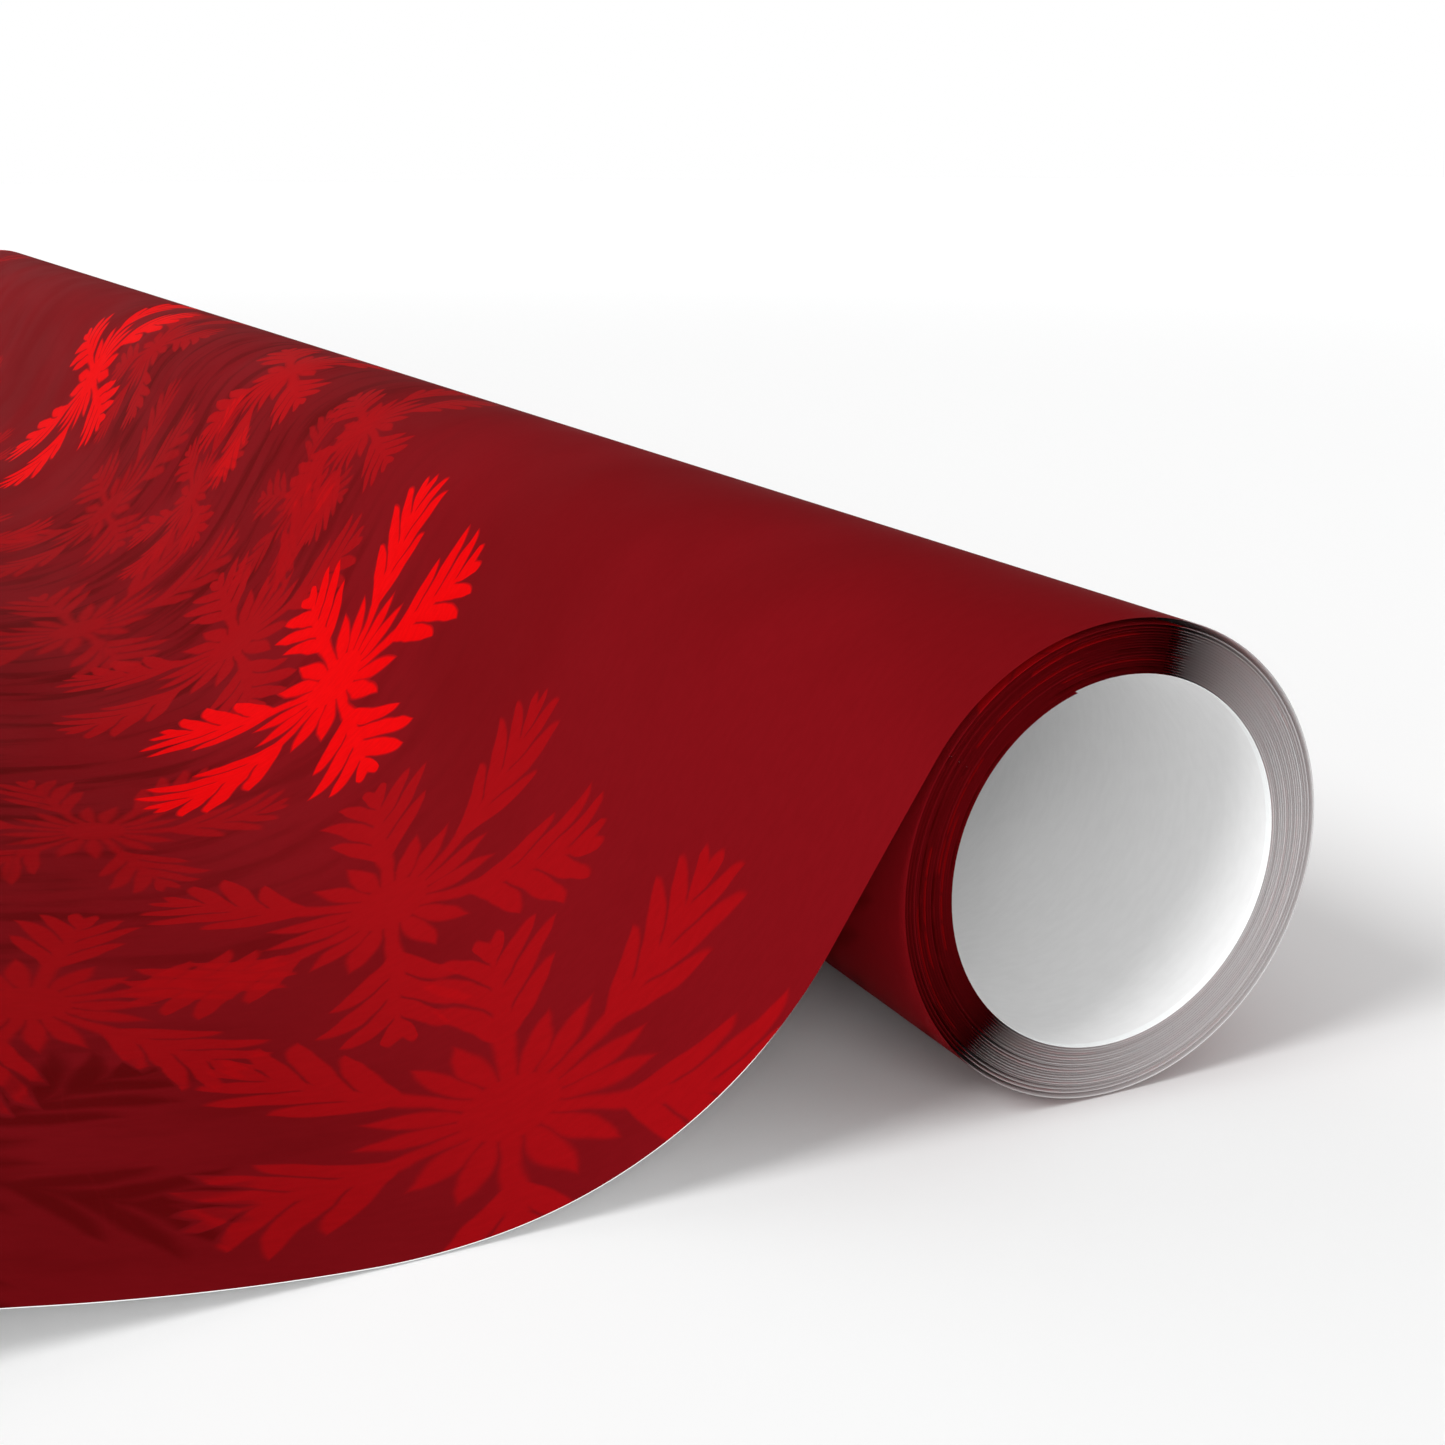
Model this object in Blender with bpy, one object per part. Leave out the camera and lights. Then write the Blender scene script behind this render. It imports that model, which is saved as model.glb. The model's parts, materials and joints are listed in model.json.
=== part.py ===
"""A coreless roll of gift wrapping paper, lying on a surface with its free end partly unrolled.

The roll's axis runs along X. The paper comes over the top of the roll, leaves it towards -Y, slopes down,
lands on the surface and rises again in a low arch that ends in the free edge. All of it is one web of
paper, which is built here as stretches: groups of turns in the roll, and panels of the unrolled sheet
that bend at hinge lines parallel to the roll. Units are metres, +Z is up, and the origin is at the
bottom centre of the whole object.
"""

import math

import bmesh
import bpy

# The roll
ROLL_LENGTH = 0.762  # the paper's width, 30 inches
BORE_RADIUS = 0.0168
TURN_PITCH = 0.00026  # radial step of one turn: the paper and the air under it
COIL_GROUPS = (("core_turns", 5), ("inner_turns", 5), ("middle_turns", 4), ("outer_turns", 4))
WRAP_TURNS = 2  # turns in the outer wrap, which carries the unrolled sheet
GROUP_CLEARANCE = 0.0003  # radial gap between neighbouring groups of turns

# The unrolled sheet, from where it leaves the roll to its free edge
TAKEOFF_ANGLE = 147.6  # degrees, from +Y over the top
LIP_LENGTH = 0.0075  # straight run of the wrap past the roll, up to the first hinge line
LANDING_RADIUS = 0.041  # the hollow bend at the foot of the slope
LANDING_EXIT_SLOPE = 7.5  # degrees of slope left where the landing bend eases
TOUCH_RADIUS = 0.0515  # the bend that touches the surface
TOUCH_EXIT_SLOPE = -4.2
RISE_RADIUS = 0.187  # the last and slightest part of the hollow bend
RISE_EXIT_SLOPE = -11.6
ARCH_RADIUS = 0.14  # the arch in which the free end stands off the surface
SHEET_THICKNESS = 0.0005
HINGE_GAP = 0.0003  # between neighbouring panels
TAIL_SHARE = 0.5  # part of the arch's falling side that belongs to the tail panel

# Facets
COIL_SEGMENTS = 60
ARC_STEP = 6.0  # degrees on the wrap, at most
BEND_STEP = 5.0  # degrees on the sheet's bends, at most

# Colours, roughness
PRINT_RED = (0.21, 0.006, 0.010, 1.0)
PAPER_BACK = (0.62, 0.60, 0.60, 1.0)
PRINT_ROUGHNESS = 0.38
BACK_ROUGHNESS = 0.8

COIL_TURNS = sum(turns for _, turns in COIL_GROUPS)
WRAP_THICKNESS = WRAP_TURNS * TURN_PITCH
ROLL_RADIUS = BORE_RADIUS + COIL_TURNS * TURN_PITCH + WRAP_THICKNESS
WRAP_MIDDLE = ROLL_RADIUS - SHEET_THICKNESS / 2
ROLL_HEIGHT = ROLL_RADIUS  # the axis above the surface


def arc(start, heading, turn, radius, step):
    """Stations along an arc: each holds y, z and the heading in degrees. A left turn is positive."""
    side = math.copysign(1.0, turn)
    centre = (
        start[0] - side * radius * math.sin(math.radians(heading)),
        start[1] + side * radius * math.cos(math.radians(heading)),
    )
    count = max(1, math.ceil(abs(turn) / step - 1e-9))
    stations = []
    for index in range(count + 1):
        now = heading + turn * index / count
        stations.append(
            (
                centre[0] + side * radius * math.sin(math.radians(now)),
                centre[1] - side * radius * math.cos(math.radians(now)),
                now,
            )
        )
    return stations


def straight(start, heading, length):
    """The two stations of a straight run."""
    along = (math.cos(math.radians(heading)), math.sin(math.radians(heading)))
    end = (start[0] + length * along[0], start[1] + length * along[1])
    return [(*start, heading), (*end, heading)]


def joined(*stretches):
    """Stretches end to end, with each shared station kept once."""
    stations = list(stretches[0])
    for stretch in stretches[1:]:
        stations += stretch[1:]
    return stations


def slope_drop(from_slope, to_slope, radius):
    """Height lost on a bend of this radius between two slopes in degrees."""
    return radius * (math.cos(math.radians(to_slope)) - math.cos(math.radians(from_slope)))


def wrap_start_angle():
    """Where the wrap begins: just past the take-off, clear of the lip that leaves above it."""
    under_lip = ROLL_RADIUS - SHEET_THICKNESS
    clear = ROLL_RADIUS + GROUP_CLEARANCE
    return TAKEOFF_ANGLE + math.degrees(math.acos(under_lip / clear)) - 360.0


def sheet_stretches():
    """The path of each piece of the outer wrap and the sheet, around a roll axis at y = 0."""
    left = 180.0  # the heading of a level sheet that runs away from the roll
    takeoff = math.radians(TAKEOFF_ANGLE)
    leave = (WRAP_MIDDLE * math.cos(takeoff), ROLL_HEIGHT + WRAP_MIDDLE * math.sin(takeoff))
    slope = TAKEOFF_ANGLE - 90.0
    start_angle = wrap_start_angle()
    bottom_angle = -90.0
    start = math.radians(start_angle)
    wrap_start = (WRAP_MIDDLE * math.cos(start), ROLL_HEIGHT + WRAP_MIDDLE * math.sin(start))
    under = arc(wrap_start, start_angle + 90.0, bottom_angle - start_angle, WRAP_MIDDLE, ARC_STEP)
    over = arc(under[-1][:2], 0.0, TAKEOFF_ANGLE - bottom_angle, WRAP_MIDDLE, ARC_STEP)
    lip = straight(leave, left + slope, LIP_LENGTH)

    # The slope is as long as it takes to bring the sheet's underside down to the surface.
    bend_drop = slope_drop(slope, LANDING_EXIT_SLOPE, LANDING_RADIUS)
    bend_drop += slope_drop(LANDING_EXIT_SLOPE, 0.0, TOUCH_RADIUS)
    slope_height = leave[1] - SHEET_THICKNESS / 2 - bend_drop
    slope_length = slope_height / math.sin(math.radians(slope)) - LIP_LENGTH
    ramp_run = straight(lip[-1][:2], left + slope, slope_length)
    half_turn = (slope - LANDING_EXIT_SLOPE) / 2
    upper_bend = arc(ramp_run[-1][:2], left + slope, -half_turn, LANDING_RADIUS, BEND_STEP)
    middle_heading = left + slope - half_turn
    lower_bend = arc(upper_bend[-1][:2], middle_heading, -half_turn, LANDING_RADIUS, BEND_STEP)
    touch = arc(lower_bend[-1][:2], left + LANDING_EXIT_SLOPE, -LANDING_EXIT_SLOPE, TOUCH_RADIUS, BEND_STEP)
    leave_floor = arc(touch[-1][:2], left, TOUCH_EXIT_SLOPE, TOUCH_RADIUS, BEND_STEP)
    lift_turn = RISE_EXIT_SLOPE - TOUCH_EXIT_SLOPE
    lift = arc(leave_floor[-1][:2], left + TOUCH_EXIT_SLOPE, lift_turn, RISE_RADIUS, BEND_STEP)

    # The arch turns until the lower corner of the free edge is back on the surface.
    rise = arc(lift[-1][:2], left + RISE_EXIT_SLOPE, -RISE_EXIT_SLOPE, ARCH_RADIUS, BEND_STEP)
    crest_height = rise[-1][1]
    end_cosine = (ARCH_RADIUS - crest_height) / (ARCH_RADIUS - SHEET_THICKNESS / 2)
    fall_turn = math.degrees(math.acos(end_cosine))
    tail_turn = fall_turn * TAIL_SHARE
    fall = arc(rise[-1][:2], left, fall_turn - tail_turn, ARCH_RADIUS, BEND_STEP)
    tail = arc(fall[-1][:2], left + fall_turn - tail_turn, tail_turn, ARCH_RADIUS, BEND_STEP)
    return {
        "outer_wrap": joined(under, over, lip),
        "sheet_ramp": joined(ramp_run, upper_bend),
        "sheet_landing": joined(lower_bend, touch, leave_floor, lift),
        "sheet_rise": rise,
        "sheet_fall": fall,
        "sheet_tail": tail,
    }


def roll_offset(stretches):
    """How far the roll's axis lies towards +Y of the middle of the whole object."""
    y, _, heading = stretches["sheet_tail"][-1]
    free_edge = y - abs(SHEET_THICKNESS / 2 * math.sin(math.radians(heading)))
    return (-free_edge - ROLL_RADIUS) / 2


def trimmed(stations, at_start, at_end):
    """The stretch with half a hinge gap taken off the ends that meet a neighbour."""
    stations = list(stations)
    for wanted, index, towards in ((at_start, 0, 1), (at_end, -1, -1)):
        if wanted:
            y, z, heading = stations[index]
            shift = towards * HINGE_GAP / 2
            y += shift * math.cos(math.radians(heading))
            z += shift * math.sin(math.radians(heading))
            stations[index] = (y, z, heading)
    return stations


def paper_material(name, colour, roughness):
    """A plain paper finish."""
    material = bpy.data.materials.new(name)
    material.use_nodes = True
    shader = material.node_tree.nodes["Principled BSDF"]
    shader.inputs["Base Color"].default_value = colour
    shader.inputs["Roughness"].default_value = roughness
    material.diffuse_color = colour
    return material


def add_object(name, form, material, sharp_degrees=40.0):
    """Turns a bmesh into a named object with a finish and smooth round faces."""
    bmesh.ops.recalc_face_normals(form, faces=form.faces)
    mesh = bpy.data.meshes.new(name)
    form.to_mesh(mesh)
    form.free()
    mesh.materials.append(material)
    mesh.shade_smooth()
    mesh.set_sharp_from_angle(angle=math.radians(sharp_degrees))
    piece = bpy.data.objects.new(name, mesh)
    bpy.context.scene.collection.objects.link(piece)
    return piece


def sheet_panel(name, stations, hinge, roll_y, material):
    """A thin strip swept along X: a line of points, extruded to the paper's width, then thickened."""
    form = bmesh.new()
    low_x = -ROLL_LENGTH / 2
    origin_y, origin_z = hinge
    line = [form.verts.new((low_x, y - origin_y, z - origin_z)) for y, z, _ in stations]
    edges = [form.edges.new(pair) for pair in zip(line, line[1:])]
    swept = bmesh.ops.extrude_edge_only(form, edges=edges)["geom"]
    moved = [item for item in swept if isinstance(item, bmesh.types.BMVert)]
    bmesh.ops.translate(form, verts=moved, vec=(ROLL_LENGTH, 0.0, 0.0))
    piece = add_object(name, form, material)
    piece.location = (0.0, roll_y + origin_y, origin_z)
    thick = piece.modifiers.new("paper thickness", "SOLIDIFY")
    thick.thickness = SHEET_THICKNESS
    thick.offset = 0.0
    thick.use_even_offset = True
    return piece


def turns_tube(name, inner_radius, outer_radius, roll_y, material):
    """A group of turns as one tube about the roll's axis: a ring of faces, extruded along X."""
    form = bmesh.new()
    loops = []
    for radius in (inner_radius, outer_radius):
        ring = []
        for index in range(COIL_SEGMENTS):
            angle = 2 * math.pi * index / COIL_SEGMENTS
            place = (-ROLL_LENGTH / 2, radius * math.cos(angle), radius * math.sin(angle))
            ring.append(form.verts.new(place))
        loops += [form.edges.new((ring[index - 1], ring[index])) for index in range(COIL_SEGMENTS)]
    face_ring = bmesh.ops.bridge_loops(form, edges=loops)["faces"]
    swept = bmesh.ops.extrude_face_region(form, geom=face_ring, use_keep_orig=True)["geom"]
    moved = [item for item in swept if isinstance(item, bmesh.types.BMVert)]
    bmesh.ops.translate(form, verts=moved, vec=(ROLL_LENGTH, 0.0, 0.0))
    piece = add_object(name, form, material)
    piece.location = (0.0, roll_y, ROLL_HEIGHT)
    return piece


def add_coil(roll_y, inside, outside):
    """The turns in the roll, from the bore outwards, as nested groups."""
    inner_radius = BORE_RADIUS
    for name, turns in COIL_GROUPS:
        outer_radius = inner_radius + turns * TURN_PITCH
        material = inside if inner_radius == BORE_RADIUS else outside
        turns_tube(name, inner_radius, outer_radius - GROUP_CLEARANCE, roll_y, material)
        inner_radius = outer_radius


def add_sheet(stretches, roll_y, material):
    """The outer wrap and the panels of the unrolled sheet, each with its origin on its hinge line."""
    names = list(stretches)
    for name in names:
        stations = stretches[name]
        first, last = name == names[0], name == names[-1]
        hinge = (0.0, ROLL_HEIGHT) if first else stations[0][:2]
        panel = trimmed(stations, at_start=not first, at_end=not last)
        sheet_panel(name, panel, hinge, roll_y, material)


def clear_scene():
    """Removes every object of the startup scene."""
    for item in list(bpy.data.objects):
        bpy.data.objects.remove(item, do_unlink=True)


def main():
    """Builds the whole roll."""
    clear_scene()
    printed = paper_material("printed_paper", PRINT_RED, PRINT_ROUGHNESS)
    back = paper_material("paper_back", PAPER_BACK, BACK_ROUGHNESS)
    stretches = sheet_stretches()
    roll_y = roll_offset(stretches)
    add_coil(roll_y, back, printed)
    add_sheet(stretches, roll_y, printed)


main()
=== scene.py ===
"""Looks of a coreless roll of gift wrapping paper, with its free end unrolled over a white surface.

One web of paper, printed on its outer side, is wound twenty times into a roll and leaves it over the top.
The web's middle line is one curve in the plane across the roll. It is worked out once, from the innermost
end of the paper to its free edge, and each piece is a stretch of that curve carried along X and given the
paper's thickness. Units are metres. +X runs along the roll, +Y from the sheet to the roll, +Z up.
"""

import sys

import json
import logging
import math
from dataclasses import dataclass
from enum import Enum

import bpy
import numpy as np
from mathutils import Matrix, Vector

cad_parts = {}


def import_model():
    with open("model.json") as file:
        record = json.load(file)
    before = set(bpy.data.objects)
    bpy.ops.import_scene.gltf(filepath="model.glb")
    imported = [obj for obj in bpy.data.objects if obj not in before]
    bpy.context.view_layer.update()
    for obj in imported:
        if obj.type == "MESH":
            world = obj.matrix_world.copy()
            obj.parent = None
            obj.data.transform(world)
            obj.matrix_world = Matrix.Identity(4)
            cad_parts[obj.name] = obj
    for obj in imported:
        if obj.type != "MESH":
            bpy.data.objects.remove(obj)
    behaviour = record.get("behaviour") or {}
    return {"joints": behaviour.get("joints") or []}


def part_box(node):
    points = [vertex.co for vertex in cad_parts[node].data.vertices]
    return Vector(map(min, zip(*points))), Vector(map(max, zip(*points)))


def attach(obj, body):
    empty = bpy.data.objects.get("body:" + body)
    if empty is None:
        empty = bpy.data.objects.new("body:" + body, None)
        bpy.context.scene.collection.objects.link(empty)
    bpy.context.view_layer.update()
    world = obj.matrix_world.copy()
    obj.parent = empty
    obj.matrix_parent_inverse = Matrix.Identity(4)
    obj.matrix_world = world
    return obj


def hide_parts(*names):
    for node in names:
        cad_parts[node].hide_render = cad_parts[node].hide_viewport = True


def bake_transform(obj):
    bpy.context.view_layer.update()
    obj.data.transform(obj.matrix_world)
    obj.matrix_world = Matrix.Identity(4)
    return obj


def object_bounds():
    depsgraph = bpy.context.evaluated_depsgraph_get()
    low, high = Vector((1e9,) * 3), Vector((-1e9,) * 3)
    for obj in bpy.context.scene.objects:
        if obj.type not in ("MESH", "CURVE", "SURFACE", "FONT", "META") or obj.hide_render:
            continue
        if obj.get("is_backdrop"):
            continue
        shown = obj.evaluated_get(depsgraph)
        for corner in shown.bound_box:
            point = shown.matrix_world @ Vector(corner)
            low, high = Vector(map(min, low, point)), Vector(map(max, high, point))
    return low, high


LOG = logging.getLogger("wrapping_paper_roll")
UV_NAME = "web"
DEPTH_NAME = "depth"  # through the paper: 1 on the print side, 0 on the back
SHARP_ANGLE = math.radians(40.0)
HAIR = 1e-7  # metres or turns: places closer than this are the same place

Colour = tuple[float, float, float]
Socket = bpy.types.NodeSocket
Value = float | Socket
Ends = tuple[float, float]


def smooth_step(value: np.ndarray, low: float, high: float) -> np.ndarray:
    """A soft step: 0 below low, 1 above high, and 3t^2 - 2t^3 between them.

    Args:
        value: where the step is wanted.
        low: where it starts to rise.
        high: where it reaches one.

    Returns:
        The step's height at each value.
    """
    share = np.clip((value - low) / (high - low), 0.0, 1.0)
    return share * share * (3.0 - 2.0 * share)


# ----------------------------------------------------------------------------------------------------
# Shader graphs
# ----------------------------------------------------------------------------------------------------


class Graph:
    """A node tree with short calls for the nodes that the finishes use."""

    def __init__(self, tree: bpy.types.NodeTree) -> None:
        """Takes the tree that the nodes go into."""
        self.tree = tree

    def add(self, kind: str, **settings: object) -> bpy.types.Node:
        """Adds a node.

        Args:
            kind: the node's type name.
            **settings: properties to set on it.

        Returns:
            The new node.
        """
        node = self.tree.nodes.new(kind)
        for name, setting in settings.items():
            setattr(node, name, setting)
        return node

    def feed(self, socket: Socket, value: object) -> None:
        """Links a socket into another, or sets a plain value on it.

        Args:
            socket: the input.
            value: an output socket, or the value to set.
        """
        if isinstance(value, Socket):
            self.tree.links.new(value, socket)
        else:
            socket.default_value = value

    def math(self, operation: str, *values: Value) -> Socket:
        """One Math node.

        Args:
            operation: the node's operation.
            *values: its inputs in order, each a number or a socket.

        Returns:
            The result's socket.
        """
        node = self.add("ShaderNodeMath", operation=operation)
        for socket, value in zip(node.inputs, values):
            self.feed(socket, value)
        return node.outputs[0]

    def soft(self, value: Value, low: Value, high: Value, to: Ends = (0.0, 1.0)) -> Socket:
        """A smooth step from low to high, spread over the range to.

        Args:
            value: what is stepped.
            low: where the step begins.
            high: where it ends.
            to: the heights before and after the step.

        Returns:
            The result's socket.
        """
        node = self.add("ShaderNodeMapRange", interpolation_type="SMOOTHSTEP")
        for socket, item in zip(node.inputs, (value, low, high, *to)):
            self.feed(socket, item)
        return node.outputs[0]

    def hump(self, value: Value, bias: float) -> Socket:
        """Half a sine wave over values from 0 to 1, and 0 outside them.

        Args:
            value: what is read.
            bias: the power that the value is raised to. Above 1 it moves the hump's top towards 1.

        Returns:
            The result's socket.
        """
        bounded = self.math("MINIMUM", self.math("MAXIMUM", value, 0.0), 1.0)
        return self.math("SINE", self.math("MULTIPLY", self.math("POWER", bounded, bias), math.pi))

    def mix(self, share: Value, first: object, second: object) -> Socket:
        """Mixes two colours.

        Args:
            share: how much of the second colour shows.
            first: a colour or a socket.
            second: a colour or a socket.

        Returns:
            The mixed colour's socket.
        """
        node = self.add("ShaderNodeMix", data_type="RGBA")
        self.feed(node.inputs["Factor"], share)
        for name, colour in (("A", first), ("B", second)):
            socket = next(s for s in node.inputs if s.name == name and s.type == "RGBA")
            self.feed(socket, (*colour, 1.0) if isinstance(colour, tuple) else colour)
        return next(s for s in node.outputs if s.type == "RGBA")

    def noise(self, vector: Socket, scale: float, detail: float = 3.0) -> bpy.types.Node:
        """A Noise texture on a vector.

        Args:
            vector: where the noise is read.
            scale: its grains per metre.
            detail: its octaves.

        Returns:
            The texture node.
        """
        node = self.add("ShaderNodeTexNoise", noise_dimensions="3D")
        self.feed(node.inputs["Vector"], vector)
        self.feed(node.inputs["Scale"], scale)
        self.feed(node.inputs["Detail"], detail)
        return node

    def group(self, tree: bpy.types.NodeTree, **values: object) -> bpy.types.Node:
        """Places a node group.

        Args:
            tree: the group.
            **values: its inputs by name, with _ for a space.

        Returns:
            The group node.
        """
        node = self.add("ShaderNodeGroup", node_tree=tree)
        for name, value in values.items():
            self.feed(node.inputs[name.replace("_", " ")], value)
        return node


def new_group(
    name: str, inputs: dict[str, object], outputs: dict[str, str]
) -> tuple[Graph, bpy.types.Node, bpy.types.Node]:
    """An empty shader node group with named sockets.

    Args:
        name: the group's name.
        inputs: each input's name and its default; a tuple of three makes a vector.
        outputs: each output's name and its socket kind.

    Returns:
        The graph, the group's input node and its output node.
    """
    tree = bpy.data.node_groups.new(name, "ShaderNodeTree")
    for label, value in inputs.items():
        kind = "NodeSocketVector" if isinstance(value, tuple) else "NodeSocketFloat"
        socket = tree.interface.new_socket(label, in_out="INPUT", socket_type=kind)
        socket.default_value = value
    for label, kind in outputs.items():
        tree.interface.new_socket(label, in_out="OUTPUT", socket_type=kind)
    graph = Graph(tree)
    return graph, graph.add("NodeGroupInput"), graph.add("NodeGroupOutput")


@dataclass(frozen=True)
class FeatherFlake:
    """A six-armed feathery snowflake, worked out from its own formula. Lengths are shares of its radius.

    Each shape below is a distance to its outline, above zero inside it. The flake is the largest of them.
    """

    arms: int = 6
    lean: float = 1.6  # how far a finger runs along its arm for each step away from it
    curl: float = 1.3  # how much the fingers curl outwards
    fingers: float = 6.0  # along one radius
    neck: float = 0.31  # where the first finger springs from the arm
    reach: float = 0.265  # the longest finger's step away from the arm
    reach_bias: float = 0.6  # below 1, the longest fingers stand nearer the heart
    shortest: float = 0.002  # keeps a finger's reach above zero
    finger_width: float = 0.45
    tip_power: float = 4.0  # how late a finger narrows
    stem: float = 0.064
    stem_taper: float = 0.7
    neck_width: float = 0.036
    neck_swell: Ends = (0.25, 0.5)  # where the arm widens from its neck to its stem
    heart: float = 0.17
    petal_angle: float = 20.0
    petal_reach: float = 0.50
    petal_width: float = 0.066
    petal_bias: float = 1.3  # above 1, a petal is widest past its middle
    gap: float = 0.02  # how far outside every shape the mask has died away

    def fold(self, g: Graph, value: object) -> tuple[Socket, Socket]:
        """Repeats the plane, then folds it onto one half of one arm.

        Args:
            g: the group's graph.
            value: the group's inputs by name.

        Returns:
            The distance from the flake's centre in radii, and the angle from the nearest arm.
        """
        sides = []
        for axis in ("Across", "Along"):
            offset = g.math("SUBTRACT", value[axis], value["Centre " + axis])
            half = g.math("MULTIPLY", value["Repeat " + axis], 0.5)
            wrapped = g.math("WRAP", offset, half, g.math("MULTIPLY", half, -1.0))
            sides.append(g.math("DIVIDE", wrapped, value["Radius"]))
        square = g.math("MULTIPLY_ADD", sides[1], sides[1], g.math("MULTIPLY", sides[0], sides[0]))
        angle = g.math("SUBTRACT", g.math("ARCTAN2", sides[1], sides[0]), value["Turn"])
        half_arm = math.pi / self.arms
        return g.math("SQRT", square), g.math("ABSOLUTE", g.math("WRAP", angle, half_arm, -half_arm))

    def finger(self, g: Graph, along: Socket, away: Socket) -> Socket:
        """The fingers: bands of q = a - lean b + curl b^2, with a along the arm and b away from it.

        A band's width falls as 1 - (b / reach)^4, and its reach follows a sine of q along the arm.

        Args:
            g: the group's graph.
            along: the distance along the nearest arm.
            away: the distance from it.

        Returns:
            The fingers' shape.
        """
        lag = g.math("MULTIPLY", away, g.math("MULTIPLY_ADD", away, -self.curl, self.lean))
        root = g.math("MULTIPLY", g.math("SUBTRACT", along, lag), self.fingers)
        centre = g.math("DIVIDE", g.math("ADD", g.math("FLOOR", root), 0.5), self.fingers)
        share = g.math("DIVIDE", g.math("SUBTRACT", centre, self.neck), 1.0 - self.neck)
        bell = g.hump(share, self.reach_bias)
        reach = g.math("MAXIMUM", g.math("MULTIPLY", bell, self.reach), self.shortest)
        narrowing = g.math("POWER", g.math("DIVIDE", away, reach), self.tip_power)
        width = g.math("MULTIPLY_ADD", narrowing, -self.finger_width, self.finger_width)
        off_middle = g.math("ABSOLUTE", g.math("SUBTRACT", g.math("FRACT", root), 0.5))
        band = g.math("DIVIDE", g.math("SUBTRACT", width, off_middle), self.fingers)
        return g.math("MINIMUM", band, g.math("SUBTRACT", bell, self.gap))

    def arm(self, g: Graph, along: Socket, away: Socket) -> Socket:
        """The arm's stem, which swells past its neck and narrows to the tip.

        Args:
            g: the group's graph.
            along: the distance along the nearest arm.
            away: the distance from it.

        Returns:
            The stem's shape.
        """
        left = g.math("SUBTRACT", 1.0, along)
        taper = g.math("POWER", g.math("MAXIMUM", left, 0.0), self.stem_taper)
        girth = g.soft(along, *self.neck_swell, (self.neck_width, self.stem))
        return g.math("MINIMUM", g.math("SUBTRACT", g.math("MULTIPLY", taper, girth), away), left)

    def petal(self, g: Graph, distance: Socket, folded: Socket) -> Socket:
        """The petal on each side of the arm.

        Args:
            g: the group's graph.
            distance: the distance from the flake's centre.
            folded: the angle from the nearest arm.

        Returns:
            The petal's shape.
        """
        turned = g.math("SUBTRACT", folded, math.radians(self.petal_angle))
        along = g.math("DIVIDE", g.math("MULTIPLY", distance, g.math("COSINE", turned)), self.petal_reach)
        away = g.math("MULTIPLY", distance, g.math("ABSOLUTE", g.math("SINE", turned)))
        swell = g.hump(along, self.petal_bias)
        return g.math("SUBTRACT", g.math("MULTIPLY_ADD", swell, self.petal_width, -self.gap), away)

    def build(self) -> bpy.types.NodeTree:
        """The flake as a node group: fingers, stem, petals and a small disc at the heart, stepped softly.

        Returns:
            The node group, with a Mask output.
        """
        place = ("Across", "Along", "Centre Across", "Centre Along", "Repeat Across", "Repeat Along")
        inputs = dict.fromkeys((*place, "Radius", "Turn", "Softness"), 0.0)
        g, given, result = new_group("feather flake", inputs, {"Mask": "NodeSocketFloat"})
        distance, folded = self.fold(g, given.outputs)
        along = g.math("MULTIPLY", distance, g.math("COSINE", folded))
        away = g.math("MULTIPLY", distance, g.math("SINE", folded))
        feather = g.math("MAXIMUM", self.finger(g, along, away), self.arm(g, along, away))
        heart = g.math("SUBTRACT", self.heart, distance)
        middle = g.math("MAXIMUM", heart, self.petal(g, distance, folded))
        softness = given.outputs["Softness"]
        low = g.math("MULTIPLY", softness, -1.0)
        g.feed(result.inputs["Mask"], g.soft(g.math("MAXIMUM", feather, middle), low, softness))
        return g.tree


@dataclass(frozen=True)
class PaperGrain:
    """The paper's fibres and its slight unevenness, shared by the print, the back and the cut edges."""

    fibre_scale: float = 1400.0  # grains per metre
    fibre_stretch: float = 3.0
    fibre_range: Ends = (0.3, 0.7)  # the noise that becomes 0 and 1
    fibre_height: float = 0.4  # share of the bump
    cloud_scale: float = 45.0
    cloud_range: Ends = (0.35, 0.65)
    cloud_height: float = 0.6

    def build(self) -> bpy.types.NodeTree:
        """The grain as a node group: fine noise drawn out along the web, and a soft cloud over it.

        Returns:
            The node group, with Fibre, Cloud and Height outputs between 0 and 1.
        """
        outputs = {"Fibre": "NodeSocketFloat", "Cloud": "NodeSocketFloat", "Height": "NodeSocketFloat"}
        g, given, result = new_group("paper grain", {"Vector": (0.0, 0.0, 0.0), "Fineness": 1.0}, outputs)
        drawn = g.add("ShaderNodeMapping")
        drawn.inputs["Scale"].default_value = (1.0, 1.0 / self.fibre_stretch, 1.0)
        g.feed(drawn.inputs["Vector"], given.outputs["Vector"])
        fine = g.math("MULTIPLY", given.outputs["Fineness"], self.fibre_scale)
        fibre = g.noise(drawn.outputs[0], fine, 4.0).outputs["Fac"]
        cloud = g.noise(given.outputs["Vector"], self.cloud_scale, 2.0).outputs["Fac"]
        g.feed(result.inputs["Fibre"], g.soft(fibre, *self.fibre_range))
        g.feed(result.inputs["Cloud"], g.soft(cloud, *self.cloud_range))
        low = g.math("MULTIPLY", fibre, self.fibre_height)
        g.feed(result.inputs["Height"], g.math("MULTIPLY_ADD", cloud, self.cloud_height, low))
        return g.tree


# ----------------------------------------------------------------------------------------------------
# Finishes
# ----------------------------------------------------------------------------------------------------


class Side(Enum):
    """The faces of the web, and the slot that each one takes on every piece."""

    PRINT = 0
    BACK = 1
    CUT = 2


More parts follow.
